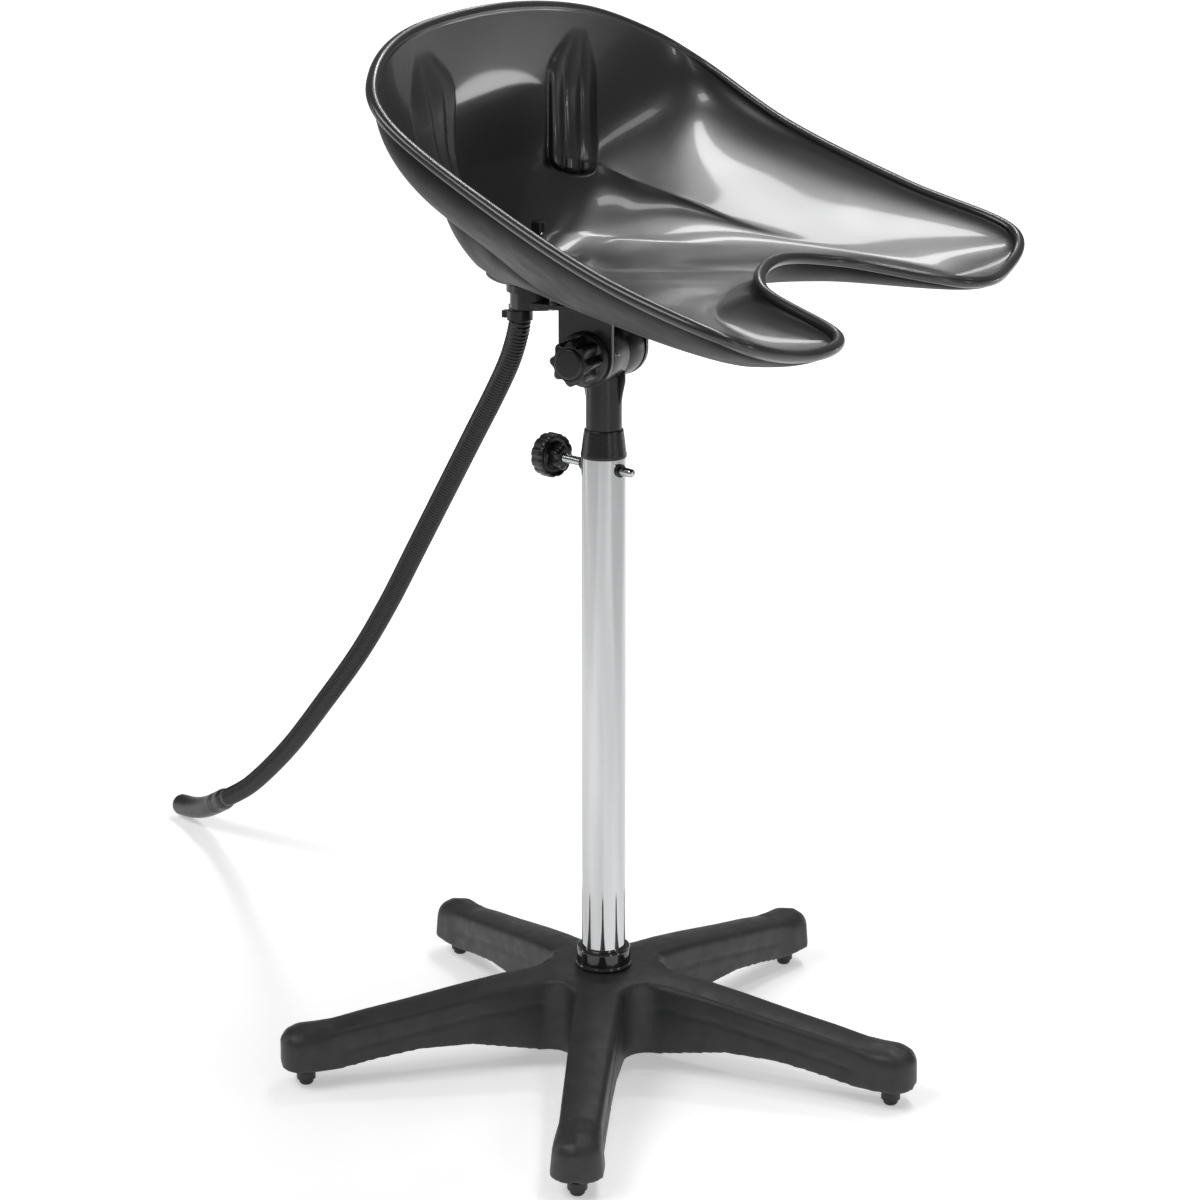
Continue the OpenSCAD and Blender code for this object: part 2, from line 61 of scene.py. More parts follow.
tube_low, tube_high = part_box("column_tube")
AXIS = np.array([(tube_low[0] + tube_high[0]) / 2, (tube_low[1] + tube_high[1]) / 2, 0.0])
print("column axis at", AXIS[:2].round(4), "and", len(nodes), "engineering parts")

# %% [markdown]
# ## The camera
# A tall, thin product is best seen through a long lens from well back and a little above it, so that
# the verticals stay nearly parallel. The camera is placed by an angle round the column, a distance and
# a height, which are the three things that one moves in a studio.

# %% Camera
CAMERA_TURN = 27.0
CAMERA_AWAY = 2.2927
CAMERA_HEIGHT = 1.0661
CAMERA_ASIDE = -0.0032
CAMERA_TILT = 74.2
CAMERA_LENS = 84.31
SENSOR_WIDTH = 36.0

camera_data = bpy.data.cameras.new("studio_camera")
camera_data.sensor_width = SENSOR_WIDTH
camera_data.lens = CAMERA_LENS
camera = bpy.data.objects.new("studio_camera", camera_data)
bpy.context.scene.collection.objects.link(camera)
turn = math.radians(CAMERA_TURN)
aside = np.array([math.cos(turn), math.sin(turn)]) * CAMERA_ASIDE
camera.location = (AXIS[0] + math.sin(turn) * CAMERA_AWAY + aside[0],
                   AXIS[1] - math.cos(turn) * CAMERA_AWAY + aside[1], CAMERA_HEIGHT)
camera.rotation_euler = (math.radians(CAMERA_TILT), 0.0, turn)
bpy.context.scene.camera = camera
print("camera at", [round(v, 3) for v in camera.location])

# %% [markdown]
# ## Making surfaces from rows of points
# Most pieces here are skins: rows of points, each row one ring of the piece, joined by four-sided
# faces. Working in rows keeps the mesh tidy, which matters on glossy plastic, where a careless triangle
# shows up at once as a kink in a reflection.

# %% Helpers for meshes
def object_from(name, points, faces, body=None, smooth=True):
    """A new mesh object, with smooth shading, riding on a body of the model."""
    mesh = bpy.data.meshes.new(name)
    mesh.from_pydata(np.asarray(points, float).reshape(-1, 3).tolist(), [], faces)
    mesh.polygons.foreach_set("use_smooth", [smooth] * len(mesh.polygons))
    mesh.update()
    obj = bpy.data.objects.new(name, mesh)
    bpy.context.scene.collection.objects.link(obj)
    if body:
        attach(obj, body)
    return obj


def ring_faces(rings, sides, loop=False):
    """Four-sided faces between rings of points; loop joins the last ring to the first."""
    faces = []
    for k in range(rings if loop else rings - 1):
        for i in range(sides):
            a, b = k * sides + i, k * sides + (i + 1) % sides
            c, d = ((k + 1) % rings) * sides + i, ((k + 1) % rings) * sides + (i + 1) % sides
            faces.append((a, b, d, c))
    return faces


def capped(rings, sides):
    """The same, with a flat face on each end ring."""
    last = (rings - 1) * sides
    ends = [tuple(range(sides - 1, -1, -1)), tuple(range(last, last + sides))]
    return ring_faces(rings, sides) + ends


def apply_modifiers(obj):
    """Freezes the object's modifiers into its mesh."""
    evaluated = obj.evaluated_get(bpy.context.evaluated_depsgraph_get())
    made = bpy.data.meshes.new_from_object(evaluated)
    obj.modifiers.clear()
    obj.data = made
    made.polygons.foreach_set("use_smooth", [True] * len(made.polygons))
    return obj


def unit(rows):
    """Every vector of an array at length one."""
    return rows / (np.linalg.norm(rows, axis=-1, keepdims=True) + 1e-12)


# %% Curves through points
def curve_through(points, steps, closed=False):
    """Smooth curve through points; steps says how many places there are between two of them."""
    p = np.asarray(points, float)
    n = len(p)
    spans = n if closed else n - 1
    counts = [steps] * spans if np.isscalar(steps) else list(steps)
    out = []
    for i in range(spans):
        if closed:
            a, b, c, d = p[(i - 1) % n], p[i], p[(i + 1) % n], p[(i + 2) % n]
        else:
            a, b, c, d = p[max(i - 1, 0)], p[i], p[i + 1], p[min(i + 2, n - 1)]
        t = (np.arange(counts[i]) / counts[i])[:, None]
        bend = (2 * a - 5 * b + 4 * c - d) * t ** 2 + (3 * b - a - 3 * c + d) * t ** 3
        out.append(0.5 * (2 * b + (c - a) * t + bend))
    if not closed:
        out.append(p[-1:])
    return np.concatenate(out)


def evenly(points, step):
    """Points at an even distance along a line."""
    lengths = np.r_[0, np.cumsum(np.linalg.norm(np.diff(points, axis=0), axis=1))]
    at = np.linspace(0, lengths[-1], max(2, int(round(lengths[-1] / step)) + 1))
    return np.stack([np.interp(at, lengths, points[:, k]) for k in range(3)], 1), at


print("helpers ready")

# %% [markdown]
# ## The waste hose
# A ribbed hose is one long tube of soft PVC whose wall is folded into rings every few millimetres, so
# it bends without kinking. It leaves the drain outlet straight down and swings out behind the stand to
# the floor. The ribs are real geometry here: a round section is carried along the route and its radius
# rises and falls with the distance travelled. The hose is made in two lengths that meet halfway.

# %% Route of the hose
HOSE_ROUTE = [[-80, 2, 664], [-80, 2, 650], [-85, 5, 634], [-96, 11, 611], [-117, 22, 579],
              [-146, 38, 539], [-192, 63, 475], [-240, 89, 408], [-282, 112, 350], [-334, 141, 286],
              [-398, 175, 217], [-465, 212, 149], [-536, 250, 88], [-590, 281, 53]]
CUFF_ROUTE = [[-590, 281, 53], [-628, 301, 31], [-658, 317, 19], [-688, 333, 12.5]]
HOSE_RADIUS = 9.5 * MM
RIB_PITCH = 3.3 * MM
RIB_DEPTH = 1.15 * MM
MEETING = 6
RINGS_PER_RIB = 6

hose_line, hose_at = evenly(curve_through(np.array(HOSE_ROUTE) * MM + AXIS, 60),
                            RIB_PITCH / RINGS_PER_RIB)
meeting_point = np.array(HOSE_ROUTE[MEETING]) * MM + AXIS
split = int(np.argmin(np.linalg.norm(hose_line - meeting_point, axis=1)))
print("hose", round(float(hose_at[-1]), 4), "m along its middle, meeting at point", split)


# %% Sweep of a round section
def swept(line, radii, sides, name, ends=(False, False), first_side=(0.4, -0.9, 0.0)):
    """A tube of changing radius along a line, its ends closed where asked for."""
    line = np.asarray(line)
    forward = unit(np.gradient(line, axis=0))
    side = unit(np.cross(np.asarray(first_side), forward))
    up = np.cross(forward, side)
    angle = np.arange(sides) / sides * 2 * math.pi
    circle = np.cos(angle)[None, :, None] * side[:, None] + np.sin(angle)[None, :, None] * up[:, None]
    rings = line[:, None] + np.asarray(radii)[:, None, None] * circle
    faces = ring_faces(len(line), sides)
    last = (len(line) - 1) * sides
    if ends[0]:
        faces.append(tuple(range(sides - 1, -1, -1)))
    if ends[1]:
        faces.append(tuple(range(last, last + sides)))
    return object_from(name, rings, faces)


HOSE_SIDES = 40
PLAIN_END = 3 * MM
rib_wave = 0.5 - 0.5 * np.cos(hose_at / RIB_PITCH * 2 * math.pi)
from_ends = np.minimum(hose_at, hose_at[-1] - hose_at)
ribbed = np.clip((from_ends - PLAIN_END) / (2 * RIB_PITCH), 0, 1)
hose_radii = HOSE_RADIUS - RIB_DEPTH * ribbed * (1 - rib_wave ** 0.7)
hose_top = swept(hose_line[:split + 1], hose_radii[:split + 1], HOSE_SIDES, "waste_hose_top")
hose_foot = swept(hose_line[split:], hose_radii[split:], HOSE_SIDES, "waste_hose_foot")
print("ribs:", int(hose_at[-1] / RIB_PITCH), "on", len(hose_line), "rings")

# %% Smooth cuff at the foot of the hose
cuff_line, cuff_at = evenly(curve_through(np.array(CUFF_ROUTE) * MM + AXIS, 40), 1.0 * MM)
CUFF_RADIUS = 11.5 * MM
cuff_end = cuff_at[-1]
CUFF_SIDES = 48
CUFF_WALL = 2.2 * MM
BORE_RINGS = 24
cuff_radii = np.full(len(cuff_at), CUFF_RADIUS)
cuff_radii -= (CUFF_RADIUS - HOSE_RADIUS) * np.clip(1 - cuff_at / (9 * MM), 0, 1) ** 2
cuff_radii -= 0.8 * MM * np.clip(1 - (cuff_end - cuff_at) / (3 * MM), 0, 1) ** 2
for groove in (18, 22, 26):
    cuff_radii -= 0.5 * MM * np.exp(-((cuff_at - groove * MM) / (0.9 * MM)) ** 2)
bore_line = cuff_line[::-1][:BORE_RINGS]
cuff_skin = np.concatenate([cuff_line, bore_line])
bore_radii = np.linspace(CUFF_RADIUS - CUFF_WALL, CUFF_RADIUS - CUFF_WALL - 0.2 * MM, BORE_RINGS)
forward = unit(np.gradient(cuff_line, axis=0))
side = unit(np.cross((0.4, -0.9, 0.0), forward))
up = np.cross(forward, side)
sides_at = np.concatenate([side, side[::-1][:BORE_RINGS]])
ups_at = np.concatenate([up, up[::-1][:BORE_RINGS]])
angle = np.arange(CUFF_SIDES) / CUFF_SIDES * 2 * math.pi
circle = np.cos(angle)[None, :, None] * sides_at[:, None] + np.sin(angle)[None, :, None] * ups_at[:, None]
cuff_rings = cuff_skin[:, None] + np.r_[cuff_radii, bore_radii][:, None, None] * circle
hose_cuff = object_from("hose_end_cuff", cuff_rings, capped(len(cuff_skin), CUFF_SIDES))
print("cuff", round(float(cuff_end), 4), "m long, open at its end")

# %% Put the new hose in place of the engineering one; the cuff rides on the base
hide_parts("drain_hose")
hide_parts("hose_cuff")
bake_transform(hose_top)
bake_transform(hose_foot)
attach(hose_cuff, "base")

# %% [markdown]
# ## The studio
# Black gloss only looks like black gloss when it has something to mirror, so every lamp here has a
# place that some part of the unit mirrors towards the eye. The key lamp and the trough lamp hang above
# and behind and draw the long highlight down the far wall of the basin. The corner, ledge, basin-floor
# and rib lamps each light one facet of it, and a small lamp low behind puts the soft spot on its back
# wall. The front lamp is broad and lights the matt plastics, and two tall strips draw the upright lines
# on the chrome.

# %% Floor and room
FLOOR_HALF_WIDTH = 24.0
ROOM_STRENGTH = 0.2
around = ((-1, -1), (1, -1), (1, 1), (-1, 1))
corners = [(x * FLOOR_HALF_WIDTH, y * FLOOR_HALF_WIDTH, 0) for x, y in around]
floor = object_from("studio_floor", corners, [(0, 1, 2, 3)])

room = bpy.data.worlds.new("studio_room")
bpy.context.scene.world = room
room.use_nodes = True
room.node_tree.nodes["Background"].inputs["Color"].default_value = (1.0, 1.0, 1.0, 1.0)
room.node_tree.nodes["Background"].inputs["Strength"].default_value = ROOM_STRENGTH
bpy.context.scene.view_settings.view_transform = "Standard"
print("floor and room ready")


# %% Soft lamps
def soft_lamp(name, place, aim, width, height, power):
    """A rectangular lamp at a place, turned to face a point."""
    lamp = bpy.data.lights.new(name, "AREA")
    lamp.shape = "RECTANGLE"
    lamp.size = width
    lamp.size_y = height
    lamp.energy = power
    obj = bpy.data.objects.new(name, lamp)
    bpy.context.scene.collection.objects.link(obj)
    obj.location = place
    obj.rotation_euler = (Vector(aim) - Vector(place)).to_track_quat("-Z", "Y").to_euler()
    return obj


# Name, place, aim, width and height in metres, power in watts
LAMPS = [
    ("key_lamp", (0.55, 0.95, 3.50), (0.0, 0.2, 0.75), 1.3, 0.26, 27),
    ("trough_lamp", (-0.28, 1.85, 3.05), (0.1, 0.2, 0.75), 0.8, 0.24, 12),
    ("corner_lamp", (1.90, 1.35, 2.60), (0.0, 0.2, 0.75), 0.4, 0.3, 2.5),
    ("ledge_lamp", (1.55, -0.50, 3.20), (0.0, 0.1, 0.75), 0.6, 0.4, 10),
    ("floor_of_basin_lamp", (-1.00, 2.35, 2.25), (0.0, 0.1, 0.7), 0.5, 0.25, 3.2),
    ("back_lamp", (1.32, 2.67, 0.36), (-0.1, 0.0, 0.8), 0.18, 0.12, 0.9),
    ("rib_lamp", (2.90, 0.05, 0.95), (-0.1, 0.1, 0.8), 0.25, 0.35, 4),
    ("front_lamp", (-1.0, -1.7, 2.7), (0.1, 0.1, 0.6), 2.2, 0.9, 36),
    ("left_strip", (-2.4, -0.6, 0.9), (0.0, 0.0, 0.6), 0.35, 1.7, 5),
    ("right_strip", (2.1, -1.3, 0.9), (0.0, 0.0, 0.6), 0.35, 1.7, 4),
]
for lamp_row in LAMPS:
    soft_lamp(*lamp_row)
print("lamps lit:", len(LAMPS))

# %% [markdown]
# ## Finishes
# Every finish is built from shader nodes, with the same few ideas: a colour with a little drift in it,
# a roughness that wanders as real plastic and chrome do, and a bump at the scale of the real surface,
# from orange peel on gloss mouldings to the fine spark-eroded grain on nylon. Noise is read in object
# space, in metres, so one finish has the same scale on every part.

# %% Helper for finishes
def finish(name, colour, drift=0.15, metal=0.0, rough=(0.3, 0.4), patch=60.0,
           grain=None, wave=None, coat=0.0, coat_rough=0.03, specular=0.5, streaks=None, glow=0.0):
    """A Principled finish; patch is the drift's frequency, grain and wave are (frequency, height)."""
    material = bpy.data.materials.new(name)
    material.use_nodes = True
    tree = material.node_tree
    shader = tree.nodes["Principled BSDF"]
    shader.inputs["Metallic"].default_value = metal
    shader.inputs["Specular IOR Level"].default_value = specular
    shader.inputs["Coat Weight"].default_value = coat
    shader.inputs["Coat Roughness"].default_value = coat_rough
    shader.inputs["Emission Color"].default_value = (1, 1, 1, 1)
    shader.inputs["Emission Strength"].default_value = glow
    where = tree.nodes.new("ShaderNodeTexCoord")
    place = where.outputs["Object"]
    if streaks:
        squeeze = tree.nodes.new("ShaderNodeMapping")
        squeeze.inputs["Scale"].default_value = streaks
        tree.links.new(place, squeeze.inputs["Vector"])
        place = squeeze.outputs["Vector"]

    def noise(frequency, detail=3.0):
        texture = tree.nodes.new("ShaderNodeTexNoise")
        texture.inputs["Scale"].default_value = frequency
        texture.inputs["Detail"].default_value = detail
        tree.links.new(place, texture.inputs["Vector"])
        return texture.outputs["Fac"]

    def spread(value, low, high):
        ramp = tree.nodes.new("ShaderNodeMapRange")
        ramp.inputs["From Min"].default_value = 0.3
        ramp.inputs["From Max"].default_value = 0.7
        ramp.inputs["To Min"].default_value = low
        ramp.inputs["To Max"].default_value = high
        tree.links.new(value, ramp.inputs["Value"])
        return ramp.outputs["Result"]

    shade = tree.nodes.new("ShaderNodeMix")
    shade.data_type = "RGBA"
    shade.inputs["A"].default_value = (*[c * (1 - drift) for c in colour], 1)
    shade.inputs["B"].default_value = (*[min(1, c * (1 + drift)) for c in colour], 1)
    tree.links.new(spread(noise(patch), 0.0, 1.0), shade.inputs["Factor"])
    tree.links.new(shade.outputs["Result"], shader.inputs["Base Color"])
    tree.links.new(spread(noise(patch * 1.7, 4.0), *rough), shader.inputs["Roughness"])
    normal = None
    for bump_size in (wave, grain):
        if not bump_size:
            continue
        bump = tree.nodes.new("ShaderNodeBump")
        bump.inputs["Distance"].default_value = bump_size[1]
        bump.inputs["Strength"].default_value = 1.0
        tree.links.new(noise(bump_size[0], 2.0), bump.inputs["Height"])
        if normal:
            tree.links.new(normal, bump.inputs["Normal"])
        normal = bump.outputs["Normal"]
    if normal:
        tree.links.new(normal, shader.inputs["Normal"])
    return material


# %% The finishes of this unit
GLOSS = finish("gloss_moulding", (0.010, 0.0102, 0.0106), drift=0.06, rough=(0.29, 0.34), patch=9,
               wave=(14, 0.0006), coat=0.25, coat_rough=0.06, specular=0.7)
NYLON = finish("grained_nylon", (0.020, 0.0205, 0.021), drift=0.22, rough=(0.42, 0.56), patch=45,
               grain=(1600, 0.00006), wave=(120, 0.00008))
SATIN = finish("satin_moulding", (0.0085, 0.0085, 0.009), drift=0.15, rough=(0.26, 0.36), patch=70,
               grain=(1500, 0.00001))
SHINY = finish("polished_collar", (0.006, 0.006, 0.0065), drift=0.1, rough=(0.10, 0.16), patch=60,
               grain=(700, 0.000004), coat=0.6)
CHROME = finish("chrome_plate", (0.56, 0.565, 0.57), drift=0.16, metal=1.0, rough=(0.05, 0.10), patch=42,
                streaks=(1, 1, 0.05), wave=(40, 0.00002))
ZINC = finish("bright_zinc", (0.62, 0.62, 0.60), drift=0.1, metal=1.0, rough=(0.22, 0.34), patch=160)
ENAMEL = finish("black_enamel", (0.009, 0.009, 0.0095), drift=0.12, rough=(0.24, 0.34), patch=60,
                grain=(500, 0.00002), coat=0.3, coat_rough=0.15)
RUBBER = finish("black_rubber", (0.012, 0.012, 0.012), drift=0.2, rough=(0.42, 0.55), patch=120,
                grain=(1200, 0.00003))
PVC = finish("soft_pvc", (0.006, 0.006, 0.0063), drift=0.2, rough=(0.30, 0.40), patch=110,
             grain=(1400, 0.00002))
NATURAL = finish("natural_nylon", (0.72, 0.71, 0.66), drift=0.05, rough=(0.4, 0.5), patch=90)
FEET = finish("glide_plastic", (0.012, 0.012, 0.012), drift=0.2, rough=(0.38, 0.5), patch=140,
              grain=(1200, 0.00002))
# The paper glows: painted light, shaped by floor_glow below
PAPER = finish("studio_paper", (0.9, 0.9, 0.9), drift=0.004, rough=(0.85, 0.9), patch=2, specular=0.1,
               glow=1.0)
OUTSIDE = finish("outside_of_moulding", (0.005, 0.0051, 0.0053), drift=0.08, rough=(0.46, 0.54), patch=30,
                 grain=(1500, 0.00001), specular=0.12)
print(len(bpy.data.materials), "finishes")


# %% [markdown]
# The paper under the unit glows a little, as painted light, more so far behind it, where no lamp reaches,
# and less to both sides, as painted shade. The darker sides keep the upper band of the basin's back wall
# dark in its reflection, as flags do in a studio.

# %% Glow of the floor
BRIGHT_HALF_WIDTH = 0.9
BRIGHT_SPREAD = 0.32


def floor_glow(material, near, far, beside):
    """Sets the glow beneath the unit, far behind it, and the share of it that is left to both sides."""
    tree = material.node_tree

    def calculate(operation, a, b=0.0):
        node = tree.nodes.new("ShaderNodeMath")
        node.operation = operation
        for socket, value in zip(node.inputs, (a, b)):
            if isinstance(value, (int, float)):
                socket.default_value = value
            else:
                tree.links.new(value, socket)
        return node.outputs["Value"]

    def ramp(value, start, stop, low, high):
        node = tree.nodes.new("ShaderNodeMapRange")
        node.interpolation_type = "SMOOTHSTEP"
        for socket, number in zip(("From Min", "From Max", "To Min", "To Max"), (start, stop, low, high)):
            node.inputs[socket].default_value = number
        tree.links.new(value, node.inputs["Value"])
        return node.outputs["Result"]

    split_up = tree.nodes.new("ShaderNodeSeparateXYZ")
    tree.links.new(tree.nodes["Texture Coordinate"].outputs["Object"], split_up.inputs["Vector"])
    x, y = split_up.outputs["X"], split_up.outputs["Y"]
    across, along = math.cos(math.radians(CAMERA_TURN)), math.sin(math.radians(CAMERA_TURN))
    sideways = calculate("ADD", calculate("MULTIPLY", x, across), calculate("MULTIPLY", y, along))
    deep = calculate("SUBTRACT", calculate("MULTIPLY", y, across), calculate("MULTIPLY", x, along))
    behind = calculate("MULTIPLY", calculate("MAXIMUM", deep, 0.0), BRIGHT_SPREAD)
    widening = calculate("ADD", behind, BRIGHT_HALF_WIDTH)
    off_centre = calculate("DIVIDE", calculate("ABSOLUTE", sideways), widening)
    # Painted light: the glow rises from beneath the unit to far behind it; painted shade: it drops to
    # both sides
    bright = ramp(deep, 0.4, 3.0, near, far)
    dark = ramp(off_centre, 0.9, 1.5, 1.0, beside)
    glow = calculate("MULTIPLY", bright, dark)
    tree.links.new(glow, tree.nodes["Principled BSDF"].inputs["Emission Strength"])


floor_glow(PAPER, near=0.40, far=1.0, beside=0.45)
print("floor glows least at its sides")


# %% Dress the engineering parts that show as they are
def dress(material, *names):
    """Puts one finish on engineering parts or on new pieces."""
    for item in names:
        obj = nodes[item] if isinstance(item, str) else item
        if not obj.data.materials:
            obj.data.materials.append(material)
        for place in obj.material_slots:
            place.material = material


dress(PAPER, floor)
dress(PVC, hose_top, hose_foot, hose_cuff)
dress(FEET, "glide_feet")
dress(CHROME, "column_tube", "lock_rod", "drain_flange")
dress(ZINC, "base_bolt", "base_washer", "lock_knob_nut", "tilt_bolt", "bracket_screws",
      "friction_washers")
dress(NATURAL, "lower_guide_bush", "tube_end_plug")
dress(SATIN, "hose_clip", "tube_cap", "lock_boss", "rod_grommet", "tilt_bolt_nut", "drain_cup",
      "drain_lock_ring", "inner_post", "post_head", "lock_knob", "tilt_knob")
dress(ENAMEL, "bowl_bracket")
dress(SHINY, "base_collar", "drain_plug")
dress(RUBBER, "drain_gaskets")
dress(NYLON, "star_base")
dress(GLOSS, "basin")

# %% [markdown]
# ## The basin
# The basin is one moulding with a wall of four millimetres, gloss inside and satin outside. Its shape
# hangs on three closed curves: the rim, the ledge where the upper wall ends, and the edge of the floor.
# Between them the wall falls away steeply at first and flattens out below, so each column of points
# follows a power curve. Round the back the ledge is a crisp edge; towards the two arms it melts into a
# shallow trough, which is done by smoothing the columns more and more. The rim is rolled outward into a
# bead.

# %% The three curves of the basin
FLOOR_HEIGHT = 690
DRAIN = np.array([-61.0, 0.0])
SHELL = 4.0
BEAD = 4.8
BEAD_INWARD = 1.0
RIM_HALF = [[-98, 0, 216], [-96, 140, 207], [-77, 228, 184], [-40, 274, 153], [44, 282, 101],
            [150, 298, 53], [248, 298, 20], [271, 222, -2], [265, 139, -2], [179, 80, 17], [154, 0, 27]]
LEDGE_HALF = [[-101, 0, 92], [-95, 75, 89], [-77, 123, 81], [-40, 147, 62], [-4, 168, 46],
              [50, 187, 24], [150, 215, 2], [220, 215, -11], [210, 165, -10], [150, 104, -1], [126, 0, 8]]
FLOOR_HALF = [[-92, 0, 26], [-88, 45, 26], [-75, 78, 24], [-48, 102, 20], [-12, 122, 16],
              [40, 148, 11], [110, 176, 2], [165, 182, -4], [160, 150, -3], [128, 86, 1], [106, 0, 5]]
# More columns where the ribs stand
COLUMNS = [34, 70, 44, 18, 16, 16, 18, 18, 16, 16]


def both_sides(half):
    """The closed curve through a half outline and its mirror image, in millimetres."""
    half = np.array(half, float)
    half[:, 2] += FLOOR_HEIGHT
    mirror = half[-2:0:-1] * [1, -1, 1]
    return curve_through(np.concatenate([half, mirror]), COLUMNS + COLUMNS[::-1], closed=True)


rim, ledge, floor_edge = both_sides(RIM_HALF), both_sides(LEDGE_HALF), both_sides(FLOOR_HALF)
columns = len(rim)
rim_along = np.roll(rim, -1, 0) - np.roll(rim, 1, 0)
rim_out = unit(np.stack([-rim_along[:, 1], rim_along[:, 0], 0 * rim_along[:, 0]], 1))
print("columns round the basin:", columns, "width", round(float(np.ptp(rim[:, 1]) + 2 * BEAD), 1), "mm")


# %% Rows of the inner face
def between(a, b, t, bend):
    """A row between two curves; a bend above one keeps it steep at first."""
    row = a + (b - a) * t
    row[:, :2] = a[:, :2] + (b[:, :2] - a[:, :2]) * t ** bend
    return row


def bead_row(degrees, radius=BEAD):
    """A row on the round bead; 0 is outward, 90 is up and 180 is inward."""
    a = math.radians(degrees)
    return rim + (radius * math.cos(a) - BEAD_INWARD) * rim_out + np.array([0, 0, radius * math.sin(a)])


WALL_BEND = 1.9
SINK_BEND = 1.7
BEAD_JOIN = 204
BEAD_START = -62
DRAIN_EDGE = (40, 0.4)
wall_top = bead_row(BEAD_JOIN)
from_drain = unit(floor_edge[:, :2] - DRAIN)


def ring_round_drain(radius, height):
    """A level ring round the drain, at a height above the basin's floor."""
    return np.c_[DRAIN + radius * from_drain, np.full(columns, FLOOR_HEIGHT + height)]


rows = [between(wall_top, ledge, t, WALL_BEND) for t in np.linspace(0, 1, 66)[:-1]]
rows += [between(ledge, floor_edge, t, SINK_BEND) for t in np.linspace(0, 1, 34)[:-1]]
rows += [between(floor_edge, ring_round_drain(*DRAIN_EDGE), t, 1) for t in np.linspace(0, 1, 22)]
inner = np.array(rows)

# The back keeps its edges nearly crisp, the arms are smoothed into troughs
SMOOTHING_ROUNDS = 70
CRISP = 0.012
softness = np.clip((ledge[:, 0] - 20) / 90, 0.0, 1.0)
softness = CRISP + (1 - CRISP) * softness ** 2
for _ in range(SMOOTHING_ROUNDS):
    inner[1:-1] += 0.25 * softness[:, None] * (inner[:-2] - 2 * inner[1:-1] + inner[2:])
print("inner rows", len(inner))

# %% [markdown]
# ## Ribs in the back corners
# Each back corner carries a bundle of three upright ribs, pressed inward from behind to stiffen the
# high wall. They start as a point below the rim, widen downward and end in a rounded foot that stands
# out over the ledge. They are pushed out of the finished wall: a bundle outline says where, and a row
# of arches across it says how far.

# %% Push the ribs inward
RIB_TURN = math.radians(27)
RIB_ACROSS = np.array([math.cos(RIB_TURN), math.sin(RIB_TURN)])
RIB_MIDDLE = -26.5
RIB_HALF_WIDTH = 20.5
RIB_REACH = 12.5
RIB_FOOT = 12.0
RIB_FADE = (13, 66)
RIB_POINT = (8, 54)
RIB_LEAN = 9.0


def smooth(value, low, high):
    """Rises smoothly from 0 at low to 1 at high."""
    t = np.clip((value - low) / (high - low), 0, 1)
    return t * t * (3 - 2 * t)


across = inner[..., 0] * RIB_ACROSS[0] + np.abs(inner[..., 1]) * RIB_ACROSS[1]
below_rim = rim[None, :, 2] - inner[..., 2]
above_ledge = inner[..., 2] - ledge[None, :, 2]
narrowing = 0.3 + 0.7 * smooth(below_rim, *RIB_POINT)
s = (across - RIB_MIDDLE - (1 - narrowing) * RIB_LEAN) / (RIB_HALF_WIDTH * narrowing)
bundle = np.clip(1 - np.abs(s) ** 5, 0, 1) ** 0.8 * (np.abs(s) < 1)
arches = np.abs(np.cos(1.5 * math.pi * np.clip(s, -1, 1))) ** 0.75
foot = RIB_FOOT * np.sqrt(np.clip(1 - s ** 2, 0, 1))
fade = smooth(below_rim, *RIB_FADE) * smooth(above_ledge, -foot - 2.5, -foot + 2.5)
corner = (inner[..., 0] < -30) & (np.abs(inner[..., 1]) > 30)
push = RIB_REACH * fade * bundle * (0.62 + 0.38 * arches) * corner
inner[..., 0] += push * math.sin(RIB_TURN)
inner[..., 1] -= push * math.cos(RIB_TURN) * np.sign(inner[..., 1])
print("deepest rib", round(float(push.max()), 1), "mm")

# %% Close the skin
step_along = np.roll(inner, -1, 1) - np.roll(inner, 1, 1)
step_down = np.gradient(inner, axis=0)
outward = unit(np.cross(step_along, step_down))
outer = (inner + SHELL * outward)[:-1:2][::-1]
bead = np.array([bead_row(a) for a in np.linspace(BEAD_START, BEAD_JOIN - 14, 26)])
DRAIN_SEAT = [(37.5, 0.35), (35.6, -0.7), (34.5, -0.9), (28, -0.9), (24, -0.9), (20.2, -1.0),
              (19.8, -1.6), (19.8, -4.4), (20.4, -5), (31, -5), (31.5, -4.6), (31.5, -4.1), (36, -3.9)]
recess = np.array([ring_round_drain(radius, height) for radius, height in DRAIN_SEAT])
basin_rows = np.concatenate([inner, recess, outer, bead]) * MM + AXIS
basin = object_from("basin_moulding", basin_rows, ring_faces(len(basin_rows), columns, loop=True), "bowl")
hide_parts("basin")
dress(GLOSS, basin)
basin.data.materials.append(OUTSIDE)
first_outside = (len(inner) + len(recess)) * columns
last_outside = first_outside + (len(outer) - 1) * columns
slot_numbers = np.zeros(len(basin.data.polygons), int)
slot_numbers[first_outside:last_outside] = 1
basin.data.polygons.foreach_set("material_index", slot_numbers)
basin_size = np.ptp(basin_rows.reshape(-1, 3), axis=0).round(3)
print("basin", len(basin.data.polygons), "faces, size", basin_size)

# %% [markdown]
# ## The star base
# The base is injection-moulded nylon: five hollow arms that grow out of a hub, with soft edges, a domed
# pad over each foot and a faint panel line along the sides. Each arm is lofted from sections that
# change along its length. The five arms and the hub are then fused with a voxel remesh and smoothed,
# which rounds the edges and fills the corners between the arms as a mould maker's radius does.

